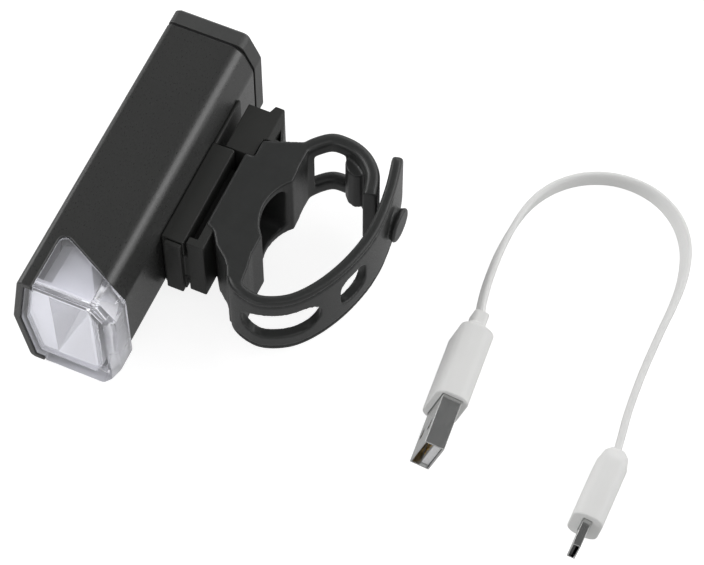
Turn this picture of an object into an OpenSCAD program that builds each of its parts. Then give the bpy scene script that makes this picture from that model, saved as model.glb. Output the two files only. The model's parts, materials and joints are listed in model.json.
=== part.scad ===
// Bike headlight lying on its side, with its rubber handlebar clamp and its charging cable.
// +X points from the lamp to the handlebar, -Y is the way the light shines, Z runs along the handlebar.

/* [Lamp body] */
// Overall length of the lamp, hood rim to rear cap
body_len = 79; // [70:0.5:95]
// Width of the lamp across its two flat sides
body_w = 32; // [31:0.5:40]
// Height of the flat sides below the lamp's middle, to the clamp face
half_h = 10.2; // [9:0.1:13]
// Height of the flat sides above the lamp's middle, to the roof's shoulder
roof_h = 10.8; // [10:0.1:13]
// Rise of the roof ridge above the shoulder
ridge_rise = 2.6; // [2:0.1:5]
// Chamfer beside the clamp face, along the flat side
chamfer_x = 3; // [2:0.1:3.5]
// Chamfer beside the clamp face, along the clamp face
chamfer_z = 6.9; // [5:0.1:7.5]
// Wall of the aluminium tube
wall = 1.6; // [1.2:0.1:1.8]
// Rounding of the tube's corners at the roof
corner_r = 1.5; // [0.8:0.1:2]
// Rounding of the tube's corners beside the clamp face
side_r = 4; // [2:0.1:5]

/* [Rear end] */
// Thickness of the rear cap
cap_t = 4.2; // [3.4:0.1:5]
// Thickness of the rear gasket
gasket_t = 0.6; // [0.4:0.1:1]
// How far the gasket sits back from the tube's skin
gasket_inset = 0.4; // [0.2:0.1:0.8]
// Bevel round the rear edge of the cap
cap_bevel = 0.7; // [0.4:0.1:1.2]
// Depth of the cap's spigot inside the tube
spigot_len = 2.5; // [1.5:0.1:4]
// Wall of the spigot
spigot_t = 1.2; // [0.8:0.1:1.6]
// Radius of the cap screws' shanks
cap_screw_r = 0.95; // [0.8:0.05:1.1]
// Length of the screw bosses inside the tube
boss_len = 12; // [6:0.5:16]

/* [Lens and light] */
// Depth of the hood above the lens
hood_depth = 3.4; // [3:0.1:5]
// Distance from the hood rim back to the point of the side window
window_tip = 15.5; // [14:0.5:17]
// Distance from the hood rim back to the window's lower end
window_side = 8; // [6:0.5:12]
// Rounding of the window's point
window_r = 1.6; // [0.6:0.1:2.5]
// Gap between the lens and the tube
lens_gap = 0.15; // [0.05:0.05:0.3]
// Wall of the lens
lens_wall = 2; // [1.8:0.1:2.6]
// How far the lens stands out past the clamp face
chin = 0.8; // [0.2:0.1:0.8]
// Depth of the long chamfers of the lens beside its chin
chin_z = 5.5; // [4:0.1:7]
// Bevel between the lens front and its chin, across the lamp
bevel_x = 1.6; // [0.8:0.1:3]
// Bevel between the lens front and its chin, along the lamp
bevel_y = 2; // [1:0.1:4]
// Room between the reflector's mouth and the clamp face
mouth_in = 3; // [2.5:0.1:4]
// Wall of the lens skirt inside the tube
skirt_t = 1.1; // [0.8:0.1:1.4]
// Thickness of the lens gasket
lens_seal_t = 0.8; // [0.5:0.1:1.2]
// Thickness of the aluminium heat sink plate
sink_t = 2.5; // [1.5:0.1:4]
// Thickness of the light source's board
led_board_t = 1.3; // [0.8:0.1:2]
// Side of the square emitter
led_side = 3.5; // [2.5:0.1:5]

/* [Power] */
// Room left between the battery cell and the clamp wall
cell_gap = 0.8; // [0.4:0.1:2]
// Width of the battery cell
cell_w = 22; // [16:0.5:23]
// Room left behind the battery cell
cell_end = 2.9; // [1:0.1:12]
// Thickness of the carrier plate between cell and board
frame_t = 1.2; // [0.8:0.1:1.4]
// Thickness of the main board
board_t = 1.2; // [0.8:0.1:1.6]
// Width of the main board
board_w = 20; // [14:0.5:21]

/* [Button] */
// Radius of the push button
button_r = 4.25; // [3.5:0.05:4.6]
// Travel of the push button
button_travel = 0.5; // [0.3:0.05:0.8]
// Place of the button along the lamp
button_y = 16; // [8:0.5:18]
// Wall of the button's bezel
bezel_wall = 1.2; // [0.8:0.1:1.5]

/* [Slide rail] */
// Length of the rail
rail_len = 28; // [24:0.5:32]
// Width of the rail along the handlebar
rail_w = 19; // [18:0.5:22]
// Thickness of the rail's base plate
rail_base = 1.5; // [1.2:0.1:2]
// Depth of the rail's channel
channel_d = 2.2; // [1.8:0.1:3]
// Thickness of the rail's lips
lip_t = 1.6; // [1.2:0.1:2.2]
// Half the width of the channel
channel_half = 6.8; // [6.2:0.1:7.5]
// Half the width of the slot between the lips
slot_half = 4.4; // [3.6:0.1:5]
// Clearance of the slider in the rail
slide_gap = 0.25; // [0.15:0.05:0.3]
// Distance from the rail's lips to the slider's outer plate
neck_gap = 2.5; // [2:0.1:4]
// Thickness of the slider's outer plate
plate_t = 2.2; // [1.6:0.1:3]
// Width of the slider's outer plate along the handlebar
plate_w = 19.4; // [15:0.2:20]
// Width of the latch along the handlebar
latch_w = 18.2; // [15:0.2:20]
// Length of the latch behind the rail
latch_len = 12.4; // [10:0.1:14]
// Gap that the latch closes when it is pressed
latch_gap = 1.3; // [1.2:0.1:2]

/* [Rubber clamp] */
// Radius of the handlebar seat
bar_r = 11.1; // [10:0.1:14]
// Width of the rubber along the handlebar
strap_w = 20; // [16:0.5:22]
// Thickness of the strap
strap_t = 2.5; // [1.8:0.1:2.6]
// Height of the strap's slots
slot_h = 9.2; // [8:0.2:10]
// Rubber between the slider and the bottom of the handlebar seat
seat_floor = 7.3; // [6.5:0.1:8]
// Thickness of the hook arm
arm_t = 3.2; // [2.4:0.1:3.6]
// Height of the hook arm's window
window_h = 11; // [8:0.2:12]
// Radius of the clamp screw's shank
clamp_screw_r = 1.45; // [1.2:0.05:1.8]

/* [Charging cable] */
// Width of the flat cord
cord_w = 4.5; // [3.5:0.1:5]
// Thickness of the flat cord
cord_t = 1.5; // [1.2:0.1:2]
// Length of the large plug's metal shell outside its grip
usb_a_len = 12.3; // [11:0.1:14]
// Length of the large plug's grip
usb_a_grip = 24.5; // [20:0.5:28]
// Length of the small plug's grip
micro_grip = 18.8; // [15:0.2:24]
// Length of the small plug's metal tip
micro_len = 6.4; // [4.5:0.1:7.5]

/* [Hidden] */
$fn = 48;
over = 1;
fit = 0.1;

// Lamp frame
mid = body_w / 2;
front_y = -body_len / 2;
rear_y = body_len / 2;
cap_y = rear_y - cap_t;
tube_end = cap_y - gasket_t;
cap_r = 0.6 * side_r;
ridge_x = -roof_h - ridge_rise;
hood_x = -roof_h + hood_depth;
tip_y = front_y + window_tip;
side_y = front_y + window_side;
lens_y = front_y + 0.2;
skirt_in = wall + lens_gap;
skirt_y1 = tip_y + 1.5;
sink_y = skirt_y1 + lens_seal_t + fit;
sink_end = sink_y + sink_t;
led_x = (hood_x + half_h - mouth_in) / 2 + 0.8;

// Button stack, from the roof towards the board
bezel_gap = 0.3;
bezel_r = button_r + bezel_gap + bezel_wall;
bezel_x0 = ridge_x + 0.3;
bezel_depth = 2.9;
bezel_x1 = bezel_x0 + bezel_depth;
button_x0 = ridge_x - 0.2;
flange_gap = 0.2;
flange_x0 = bezel_x1 + flange_gap;
flange_t = 0.8;
flange_lip = 0.9;
plunger_x0 = flange_x0 + flange_t;
plunger_r = 1.4;
plunger_grip = 0.4;
switch_h = 2.8;
switch_half = 2.6;
switch_x0 = plunger_x0 + button_travel + 0.6;

// Inside the lamp, from the button's switch towards the clamp wall
board_x0 = switch_x0 + switch_h;
board_x1 = board_x0 + board_t;
post_h = 1.2;
post_r = 1.2;
post_inset = 2;
frame_x0 = board_x1 + post_h;
frame_x1 = frame_x0 + frame_t;
cell_x0 = frame_x1 + fit;
cell_x1 = half_h - wall - cell_gap;
cell_r = 2;
cell_y0 = sink_end + 1;
carrier_y1 = tube_end - spigot_len - 0.5;
cell_y1 = carrier_y1 - cell_end;
board_y0 = sink_end + 2.6;
socket_h = 2.7;
socket_w = 7.8;
socket_y0 = tube_end - 4.4;
socket_y1 = rear_y - 2.2;
port_x = board_x0 - socket_h / 2;
boss_inset = 1.7;
boss_wall = 1.05;
boss_x = -roof_h + wall + boss_inset;
boss_z = wall + boss_inset;
boss_r = cap_screw_r + boss_wall;
boss_y1 = tube_end - spigot_len - 0.4;
screw_bite = 7;
cap_head_t = 0.7;
led_board_half = 8;
led_t = 1.6;

// Port cover in its recess
cover_depth = 1.3;
cover_gap = 0.3;
cover_x0 = port_x - 3.3;
cover_x1 = port_x + 3.3;
cover_half = 7;

// Slide rail and slider
base_x = half_h + rail_base;
channel_x = base_x + channel_d;
rail_x = channel_x + lip_t;
rail_y0 = -rail_len / 2 - 0.6;
rail_y1 = rail_y0 + rail_len;
rail_stop = 1.3;
tail_step = 0.3;
tail_t = 0.8;
stop_t = 1.3;
bracket_y0 = rail_y0 + stop_t + fit;
plate_x0 = rail_x + neck_gap;
plate_x1 = plate_x0 + plate_t;
slider_y0 = rail_y0 + 1.6;
slider_y1 = rail_y1 - rail_stop - 0.4;
latch_x0 = base_x + latch_gap;
latch_x1 = plate_x1 - 0.3;
latch_y0 = rail_y1 + 0.4;
latch_y1 = latch_y0 + latch_len;
rail_screw_ys = [rail_y0 + 5.6, rail_y1 - 5.6];
rail_screw_r = 1.15;
rail_head_r = 2.3;

// Rubber clamp, in plan
seat_x = plate_x1 + seat_floor + bar_r;
seat_y = 3;
plan_k = bar_r / 11.1;
rubber_z0 = mid - strap_w / 2;
root_y = seat_y - 17.4 * plan_k;
root_gap = 0.3;
pocket_y = 7.8;
pocket_z = 15.6;
pocket_x = plate_x1 + 2;
head_k = 1.9;
washer_t = 0.5;
head_h = 1.6;

// Charging cable: places are where the pieces lie beside the lamp
usb_a_at = [78.1, 6, 7.6];
usb_a_turn = [0, 16, 4.5];
usb_a_half = [3.9, 7.5];
usb_a_shell = [4.5, 12];
micro_at = [117.9, -12.8, 5.5];
micro_turn = [0, 8, 0];
micro_half = [3.5, 5.4];
micro_shell = [1.8, 6.9];
neck_len = 3.2;
micro_shoulder = 4.4;
tongue_t = 1.8;
contact_t = 0.25;

// Route of the flat cord: x, y, z of its middle, and its lean in degrees
cord_route = [
    [78.1, 6, 7.6, 16], [77.2, 9.5, 7.1, 17], [76.3, 14.5, 6.6, 18], [75.7, 20, 6, 18], [75.4, 25, 5.4, 17],
    [75.5, 31, 4.8, 14], [76, 36.5, 4.2, 10], [77.2, 41.5, 3.7, 6], [79.2, 45.8, 3.2, 3], [81.7, 49.1, 2.9, 1],
    [84.5, 51.6, 2.7, 0], [87.6, 53.4, 2.6, 0], [91.1, 54.6, 2.6, 0], [94.8, 55.1, 2.6, -2], [98.8, 54.9, 2.6, -6],
    [102.8, 53.8, 2.6, -10], [106.5, 51.8, 2.6, -14], [109.6, 49.1, 2.6, -18], [112.1, 45.7, 2.6, -20],
    [113.8, 42, 2.6, -20], [115, 37.4, 2.7, -19], [115.6, 33, 2.9, -17], [115.8, 27.4, 3.2, -15],
    [115.7, 21.5, 3.6, -13], [115.7, 15, 4, -12], [115.8, 9, 4.3, -11], [116.1, 3, 4.7, -10],
    [116.6, -3, 5, -9], [117.3, -8, 5.3, -8], [117.9, -12.8, 5.5, -8]
];

// Outline helpers

function unit(v) = v / norm(v);

// Moves every side of an anticlockwise outline inwards by d
function inset(pts, d) = [
    for (i = [0 : len(pts) - 1])
        let (a = pts[(i + len(pts) - 1) % len(pts)], b = pts[i], c = pts[(i + 1) % len(pts)],
             e = unit(b - a), f = unit(c - b), m = [-e[1], e[0]], n = [-f[1], f[0]])
            b + d * (m + n) / (1 + m * n)
];

// Arc that rounds the corner b between its neighbours a and c
function corner_arc(a, b, c, r, steps) =
    let (u = unit(a - b), v = unit(c - b), half = acos(u * v) / 2,
         o = b + unit(u + v) * r / sin(half), p = b + u * r / tan(half) - o,
         s = sign(v[0] * u[1] - v[1] * u[0]))
        [for (k = [0 : steps])
            let (t = -s * k / steps * (180 - 2 * half))
                o + [p[0] * cos(t) + p[1] * sin(t), p[1] * cos(t) - p[0] * sin(t)]];

// Rounds each corner of an outline by its own radius
function rounded_each(pts, radii, steps = 5) = [
    for (i = [0 : len(pts) - 1])
        each corner_arc(pts[(i + len(pts) - 1) % len(pts)], pts[i], pts[(i + 1) % len(pts)], radii[i], steps)
];

// Rounds all corners of an outline by one radius
function rounded(pts, r) = rounded_each(pts, [for (p = pts) r]);

// Smooth curve through the given points, n steps between neighbours
function smooth(p, n) = [
    for (i = [0 : len(p) - 2]) for (k = [0 : n - 1])
        let (t = k / n, a = p[max(i - 1, 0)], b = p[i], c = p[i + 1], d = p[min(i + 2, len(p) - 1)])
            (2 * b + (c - a) * t + (2 * a - 5 * b + 4 * c - d) * t * t
             + (3 * b - a - 3 * c + d) * t * t * t) / 2,
    p[len(p) - 1]
];

function heading(p, i) = unit(p[min(i + 1, len(p) - 1)] - p[max(i - 1, 0)]);

// One edge of a band along a plan path, at a signed distance to its left
function beside(p, d) = [
    for (i = [0 : len(p) - 1])
        let (h = heading(p, i)) [p[i][0] - d * h[1], p[i][1] + d * h[0]]
];

function turned(p) = [for (i = [len(p) - 1 : -1 : 0]) p[i]];

// Closed outline of a band of thickness t along a plan path
function band(p, t) = concat(beside(p, -t / 2), turned(beside(p, t / 2)));

function part_of(p, first, last) = [for (i = [first : last]) p[i]];

// Cross-section of the lamp in X and Z, moved inwards by d
function lamp_corners() = [
    [-roof_h, 0], [half_h - chamfer_x, 0], [half_h, chamfer_z], [half_h, body_w - chamfer_z],
    [half_h - chamfer_x, body_w], [-roof_h, body_w], [ridge_x, mid]
];
function lamp_section(d, side = side_r) = rounded_each(inset(lamp_corners(), d), [
    for (r = [corner_r, side, side, side, side, corner_r, corner_r]) max(r - d, 0.4)
]);

// Cross-section of the lens front, which is fuller than the lamp on the clamp side
function lens_section() = rounded([
    [-roof_h, 0], [half_h - chamfer_x, 0], [half_h + chin, chin_z], [half_h + chin, body_w - chin_z],
    [half_h - chamfer_x, body_w], [-roof_h, body_w], [ridge_x, mid]
], corner_r);

// Extrudes an outline drawn in X and Z from y0 to y1
module along_y(y0, y1) {
    translate([0, y1, 0])
        rotate([90, 0, 0])
            linear_extrude(y1 - y0)
                children();
}

// Extrudes an outline drawn in X and Y from z0 to z1
module along_z(z0, z1) {
    translate([0, 0, z0])
        linear_extrude(z1 - z0)
            children();
}

// Box between two corners
module span(p, q) {
    translate(p)
        cube(q - p);
}

// Round bar along X from x0 to x1
module rod_x(x0, x1, r, y, z) {
    translate([x0, y, z])
        rotate([0, 90, 0])
            cylinder(h = x1 - x0, r = r);
}

// Round bar along Y from y0 to y1
module rod_y(y0, y1, r, x, z) {
    translate([x, y1, z])
        rotate([90, 0, 0])
            cylinder(h = y1 - y0, r = r);
}

module lamp_prism(y0, y1, d, side = side_r) {
    along_y(y0, y1)
        polygon(lamp_section(d, side));
}

// Ring that follows the lamp's section between two insets
module lamp_ring(y0, y1, d0, d1) {
    difference() {
        lamp_prism(y0, y1, d0);
        lamp_prism(y0 - over, y1 + over, d1);
    }
}

module at_both_sides() {
    for (z = [boss_z, body_w - boss_z])
        translate([0, 0, z])
            children();
}

// Plan of the cut that opens the tube's front to the sides and to the clamp face
function window_corners() = [
    [hood_x, front_y - over], [half_h + over, front_y - over], [half_h + over, side_y],
    [half_h - chamfer_x, side_y], [hood_x, tip_y]
];

// Plan of the room in front of the lamp's rear, from x0 to the lens bevel, moved inwards by d
function lens_room(x0, d) = inset([
    [x0, lens_y], [half_h + chin - bevel_x, lens_y], [half_h + chin + bevel_x, lens_y + 2 * bevel_y],
    [half_h + chin + bevel_x, rear_y], [x0, rear_y]
], d);

// Sub-parts of the lamp

module body_tube() {
    color("#2b2d30")
        difference() {
            union() {
                lamp_ring(front_y, tube_end, 0, wall);
                intersection() {
                    lamp_prism(front_y, tube_end, wall / 2);
                    at_both_sides()
                        rod_y(boss_y1 - boss_len, boss_y1, boss_r, boss_x, 0);
                }
            }
            along_z(-over, body_w + over)
                polygon(window_outline(0));
            rod_x(ridge_x - over, board_x0, bezel_r + fit / 2, button_y, mid);
            at_both_sides()
                rod_y(boss_y1 - boss_len - over, boss_y1 + over, cap_screw_r + fit / 2, boss_x, 0);
            for (y = rail_screw_ys)
                rod_x(0, half_h + over, rail_screw_r + fit / 2, y, mid);
        }
}

// Window plan with its point rounded, moved inwards by d
function window_outline(d) =
    let (w = inset(window_corners(), d))
        concat(part_of(w, 0, 3), corner_arc(w[3], w[4], w[0], window_r, 6));

module rear_gasket() {
    color("#0b0b0c")
        lamp_ring(tube_end, cap_y, gasket_inset, skirt_in + fit);
}

module rear_cap() {
    color("#26282a")
        difference() {
            union() {
                lamp_prism(cap_y, rear_y - cap_bevel, 0, cap_r);
                hull() {
                    lamp_prism(rear_y - cap_bevel - 0.01, rear_y - cap_bevel, 0, cap_r);
                    lamp_prism(rear_y - 0.01, rear_y, cap_bevel, cap_r);
                }
                lamp_ring(tube_end - spigot_len, cap_y + fit, skirt_in + 2 * fit, skirt_in + 2 * fit + spigot_t);
            }
            span([port_x - socket_h / 2 - 0.4, cap_y - over, mid - socket_w / 2 - 0.4],
                 [port_x + socket_h / 2 + 0.4, rear_y, mid + socket_w / 2 + 0.4]);
            span([cover_x0 - cover_gap, rear_y - cover_depth, mid - cover_half - cover_gap],
                 [cover_x1 + cover_gap, rear_y + over, mid + cover_half + cover_gap]);
            at_both_sides() {
                rod_y(tube_end - spigot_len - over, rear_y + over, cap_screw_r + 0.15, boss_x, 0);
                rod_y(rear_y - cap_bevel - cap_head_t, rear_y + over, 2 * cap_screw_r + 0.2, boss_x, 0);
            }
            span([board_x0 - 0.4, tube_end - spigot_len - over, 0], [frame_x1 + 0.4, tube_end, body_w]);
        }
}

module cap_screws() {
    color("#8d9094")
        at_both_sides()
            difference() {
                union() {
                    rod_y(boss_y1 - screw_bite, rear_y - cap_bevel, cap_screw_r, boss_x, 0);
                    rod_y(rear_y - cap_bevel - cap_head_t, rear_y - 0.2, 2 * cap_screw_r, boss_x, 0);
                }
                for (turn = [0, 90])
                    translate([boss_x, rear_y - 0.2, 0])
                        rotate([0, turn, 0])
                            cube([2.2 * cap_screw_r, 1, 0.4 * cap_screw_r], center = true);
            }
}

module port_cover() {
    color("#161718")
        union() {
            span([cover_x0, rear_y - cover_depth + fit, mid - cover_half],
                 [cover_x1, rear_y - fit, mid + cover_half]);
            span([port_x - 0.6, rear_y - cover_depth - 0.5, mid - socket_w / 2 + 0.4],
                 [port_x + 1, rear_y - cover_depth + 2 * fit, mid + socket_w / 2 - 0.4]);
        }
}

// Clear cover: a plug inside the tube that also fills the side windows
module lens() {
    color("#dfe3ee", 0.5)
        difference() {
            union() {
                intersection() {
                    along_y(lens_y, tip_y + over)
                        polygon(lens_section());
                    along_z(-over, body_w + over)
                        intersection() {
                            polygon(lens_room(hood_x + lens_gap, 0));
                            polygon(window_outline(lens_gap));
                        }
                }
                intersection() {
                    lamp_prism(lens_y, skirt_y1, skirt_in);
                    along_z(-over, body_w + over)
                        polygon(lens_room(ridge_x - over, 0));
                }
            }
            intersection() {
                lamp_prism(lens_y, skirt_y1 + over, skirt_in + skirt_t);
                along_z(-over, body_w + over)
                    polygon(lens_room(ridge_x - over, lens_wall));
            }
        }
}

module lens_gasket() {
    color("#0b0b0c")
        lamp_ring(skirt_y1 + fit / 2, skirt_y1 + lens_seal_t, skirt_in, skirt_in + skirt_t);
}

// Reflector: a rectangular funnel from the emitter to the lens, with a flange round its mouth
reflector_y0 = lens_y + lens_wall + 0.6;
reflector_y1 = sink_y - led_board_t - fit;
reflector_t = 0.8;
mouth_x0 = hood_x + 2.4;
mouth_x1 = half_h - mouth_in - lens_wall + 0.6;
mouth_half = mid - skirt_in - skirt_t - 0.6;

module reflector_plate(y, x0, x1, half) {
    span([x0, y, mid - half], [x1, y + 0.02, mid + half]);
}

module reflector() {
    throat = led_side / 2 + 0.6;
    color("#e6e6ea")
        difference() {
            union() {
                hull() {
                    reflector_plate(reflector_y0, mouth_x0, mouth_x1, mouth_half);
                    reflector_plate(reflector_y1 - 0.02, led_x - throat - reflector_t,
                                    led_x + throat + reflector_t, throat + reflector_t);
                }
                intersection() {
                    lamp_prism(reflector_y0, reflector_y0 + reflector_t, skirt_in + skirt_t + fit);
                    span([ridge_x, front_y, 0], [mouth_x1, rear_y, body_w]);
                }
            }
            hull() {
                reflector_plate(reflector_y0 - 0.02, mouth_x0 + reflector_t, mouth_x1 - reflector_t,
                                mouth_half - reflector_t);
                reflector_plate(reflector_y1, led_x - throat, led_x + throat, throat);
            }
        }
}

module led_emitter() {
    color("#f2e27a")
        span([led_x - led_side / 2, sink_y - led_board_t - led_t, mid - led_side / 2],
             [led_x + led_side / 2, sink_y - led_board_t, mid + led_side / 2]);
}

module led_board() {
    color("#d9dcd6")
        span([board_x0 - 0.4, sink_y - led_board_t, mid - led_board_half],
             [half_h - skirt_in - skirt_t - 0.6, sink_y, mid + led_board_half]);
}

lead_zs = [mid - 4, mid + 4];
lead_r = 0.5;

module heat_sink() {
    color("#b9bcbf")
        difference() {
            lamp_prism(sink_y, sink_end, wall + fit);
            for (z = lead_zs)
                rod_y(sink_y - over, sink_end + over, lead_r + 0.4, (board_x0 + board_x1) / 2, z);
        }
}

module led_leads() {
    color("#b3322c")
        for (z = lead_zs)
            rod_y(sink_y, board_y0, lead_r, (board_x0 + board_x1) / 2, z);
}

module battery_cell() {
    color("#8ea0b4")
        along_y(cell_y0, cell_y1)
            polygon(rounded([
                [cell_x0, mid - cell_w / 2], [cell_x1, mid - cell_w / 2],
                [cell_x1, mid + cell_w / 2], [cell_x0, mid + cell_w / 2]
            ], cell_r));
}

lead_y = cell_y0 + 4;

module battery_leads() {
    color("#b3322c")
        for (z = lead_zs)
            rod_x(board_x1, cell_x0, lead_r, lead_y, z);
}

module inner_frame() {
    color("#3a3d40")
        union() {
            difference() {
                span([frame_x0, sink_end + 0.5, wall + fit], [frame_x1, carrier_y1, body_w - wall - fit]);
                for (z = lead_zs)
                    rod_x(frame_x0 - over, frame_x1 + over, lead_r + 0.4, lead_y, z);
            }
            for (y = [board_y0 + 8, carrier_y1 - 4], z = [mid - board_w / 2 + post_inset, mid + board_w / 2 - post_inset])
                rod_x(board_x1, frame_x0, post_r, y, z);
        }
}

module main_board() {
    color("#2e6b3f")
        span([board_x0, board_y0, mid - board_w / 2], [board_x1, tube_end - 0.5, mid + board_w / 2]);
}

module micro_usb_socket() {
    shell = 0.35;
    color("#c2c5c9")
        difference() {
            span([board_x0 - socket_h, socket_y0, mid - socket_w / 2], [board_x0, socket_y1, mid + socket_w / 2]);
            span([board_x0 - socket_h + shell, socket_y0 + 1.2, mid - socket_w / 2 + shell],
                 [board_x0 - shell, socket_y1 + over, mid + socket_w / 2 - shell]);
        }
}

module tactile_switch() {
    color("#1b1c1e")
        difference() {
            span([switch_x0, button_y - switch_half, mid - switch_half],
                 [board_x0, button_y + switch_half, mid + switch_half]);
            rod_x(switch_x0 - over, switch_x0 + plunger_grip + button_travel + 0.4, plunger_r + 0.15, button_y, mid);
        }
}

module switch_plunger() {
    color("#d8d9da")
        rod_x(plunger_x0, switch_x0 + plunger_grip, plunger_r, button_y, mid);
}

module power_button() {
    color("#1d1f21")
        union() {
            rod_x(button_x0, plunger_x0, button_r, button_y, mid);
            rod_x(flange_x0, plunger_x0, button_r + flange_lip, button_y, mid);
        }
}

module button_bezel() {
    color("#4a4d50")
        difference() {
            rod_x(bezel_x0, bezel_x1, bezel_r, button_y, mid);
            rod_x(bezel_x0 - over, bezel_x1 + over, button_r + bezel_gap, button_y, mid);
        }
}

// Sub-parts of the slide rail

module rail_bracket() {
    z0 = mid - rail_w / 2;
    z1 = mid + rail_w / 2;
    color("#232527")
        difference() {
            union() {
                span([half_h, bracket_y0, z0], [rail_x, rail_y1, z1]);
                span([half_h, rail_y1 - fit, z0 + tail_step], [half_h + tail_t, latch_y1, z1 - tail_step]);
            }
            span([base_x, rail_y0 - over, mid - channel_half], [channel_x, rail_y1 - rail_stop, mid + channel_half]);
            span([base_x, rail_y0 - over, mid - slot_half], [rail_x + over, rail_y1 - rail_stop, mid + slot_half]);
            for (y = rail_screw_ys) {
                rod_x(half_h - over, base_x, rail_screw_r + fit / 2, y, mid);
                translate([half_h + 0.3, y, mid])
                    rotate([0, 90, 0])
                        cylinder(h = rail_base - 0.3 + 0.01, r1 = rail_screw_r + fit, r2 = rail_head_r + fit);
            }
        }
}

module rail_screws() {
    color("#8d9094")
        for (y = rail_screw_ys)
            difference() {
                union() {
                    rod_x(cell_x1 + 0.3, base_x - 0.2, rail_screw_r, y, mid);
                    translate([half_h + 0.4, y, mid])
                        rotate([0, 90, 0])
                            cylinder(h = rail_base - 0.45, r1 = rail_screw_r, r2 = rail_head_r);
                }
                for (turn = [0, 90])
                    translate([base_x, y, mid])
                        rotate([turn, 0, 0])
                            cube([1, rail_head_r * 1.2, 0.5], center = true);
            }
}

// Thumb lip of the latch: a triangle in plan, with a sloping top and a triangular hole
lip_out = 4.1;
lip_back = 1.8;
lip_fall = 3.6;

module latch_lever() {
    lip_y = plate_end + 5.2;
    z0 = mid - latch_w / 2;
    z1 = mid + latch_w / 2;
    lip = [
        [latch_x1 - 1.2, lip_y], [latch_x1 - 0.2, lip_y], [latch_x1 + lip_out, lip_y + 1.6],
        [latch_x1 + 1.1, latch_y1 + lip_back], [latch_x1 - 1.1, latch_y1 + lip_back], [latch_x1 - 1.7, latch_y1]
    ];
    hole = [
        [latch_x1 + 2.1, lip_y + 1.9], [latch_x1 + 3.2, lip_y + 2.3], [latch_x1 + 2.3, lip_y + 4.4]
    ];
    slope = [
        [latch_x0, z0], [latch_x1 + lip_out + over, z0], [latch_x1 + lip_out + over, z1 - lip_fall],
        [latch_x1 + 0.9, z1], [latch_x0, z1]
    ];
    color("#232527")
        union() {
            span([latch_x0, latch_y0, z0], [latch_x1, latch_y1, z1]);
            intersection() {
                along_z(z0, z1)
                    difference() {
                        polygon(lip);
                        polygon(hole);
                    }
                along_y(lip_y - over, latch_y1 + lip_back + over)
                    polygon(slope);
            }
        }
}

plate_end = rail_y1 + 0.1;

module clamp_slider() {
    flange_half = channel_half - slide_gap;
    neck_half = slot_half - slide_gap;
    color("#232527")
        difference() {
            union() {
                span([base_x + slide_gap, slider_y0, mid - flange_half],
                     [channel_x - slide_gap, slider_y1, mid + flange_half]);
                span([base_x + slide_gap, slider_y0, mid - neck_half], [plate_x1, slider_y1, mid + neck_half]);
                span([plate_x0, slider_y0, mid - plate_w / 2], [plate_x1, plate_end, mid + plate_w / 2]);
                span([rail_x + 0.6, slider_y0, mid - plate_w / 2], [plate_x0 + fit, slider_y0 + 2, mid + plate_w / 2]);
                span([base_x + slide_gap, rail_y0 + fit, mid - neck_half],
                     [rail_x - 0.2, slider_y0 + fit, mid + neck_half]);
                span([half_h + chin + 0.25, rail_y0, mid - rail_w / 2 + 0.3],
                     [rail_x - 0.2, rail_y0 + stop_t, mid + rail_w / 2 - 0.3]);
            }
            rod_x(channel_x, plate_x1 + over, clamp_screw_r + fit / 2, seat_y, mid);
        }
}

module clamp_screw() {
    color("#8d9094")
        difference() {
            union() {
                rod_x(channel_x + 0.6, pocket_x + 0.5, clamp_screw_r, seat_y, mid);
                rod_x(pocket_x, pocket_x + head_h, head_k * clamp_screw_r, seat_y, mid);
            }
            for (turn = [0, 90])
                translate([pocket_x + head_h, seat_y, mid])
                    rotate([turn, 0, 0])
                        cube([1.4, 2.4 * clamp_screw_r, 0.5], center = true);
        }
}

module clamp_washer() {
    color("#a7aaad")
        difference() {
            rod_x(pocket_x - washer_t, pocket_x, 2.4 * clamp_screw_r, seat_y, mid);
            rod_x(pocket_x - washer_t - over, pocket_x + over, clamp_screw_r + 0.15, seat_y, mid);
        }
}

// Sub-parts of the rubber clamp, drawn in plan from the handlebar seat's middle

// Points given for an 11.1 mm seat, which grow with the handlebar
function from_seat(pts) = [for (p = pts) [seat_x, seat_y] + plan_k * p];

saddle_plan = concat(
    [[plate_x1, seat_y - 10.6 * plan_k], [plate_x1 + 2, seat_y - 13.6 * plan_k]],
    from_seat([[-13.2, -16.2], [-12.3, -17.4], [-7.5, -17.4], [-8.3, -12.5], [-7.2, -10.6], [-6.1, -9.3],
               [-6.1, 9.3], [-7.2, 11.4], [-8.1, 13.4], [-8, 16.5], [-10, 18.4], [-14, 16.8]]),
    [[plate_x1, plate_end + 4.6]]
);

arm_path = smooth(from_seat([
    [-9.5, 16.8], [-7.5, 19.6], [-4.7, 22], [-1.7, 22.4], [1.7, 21.8], [4.9, 20], [7.5, 16.8], [8.9, 11.8]
]), 6);

// Window of the hook arm, as a stretch of its path, and half the height of the arm's head
arm_window = [4, 20];
head_half = 6.5;

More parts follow.
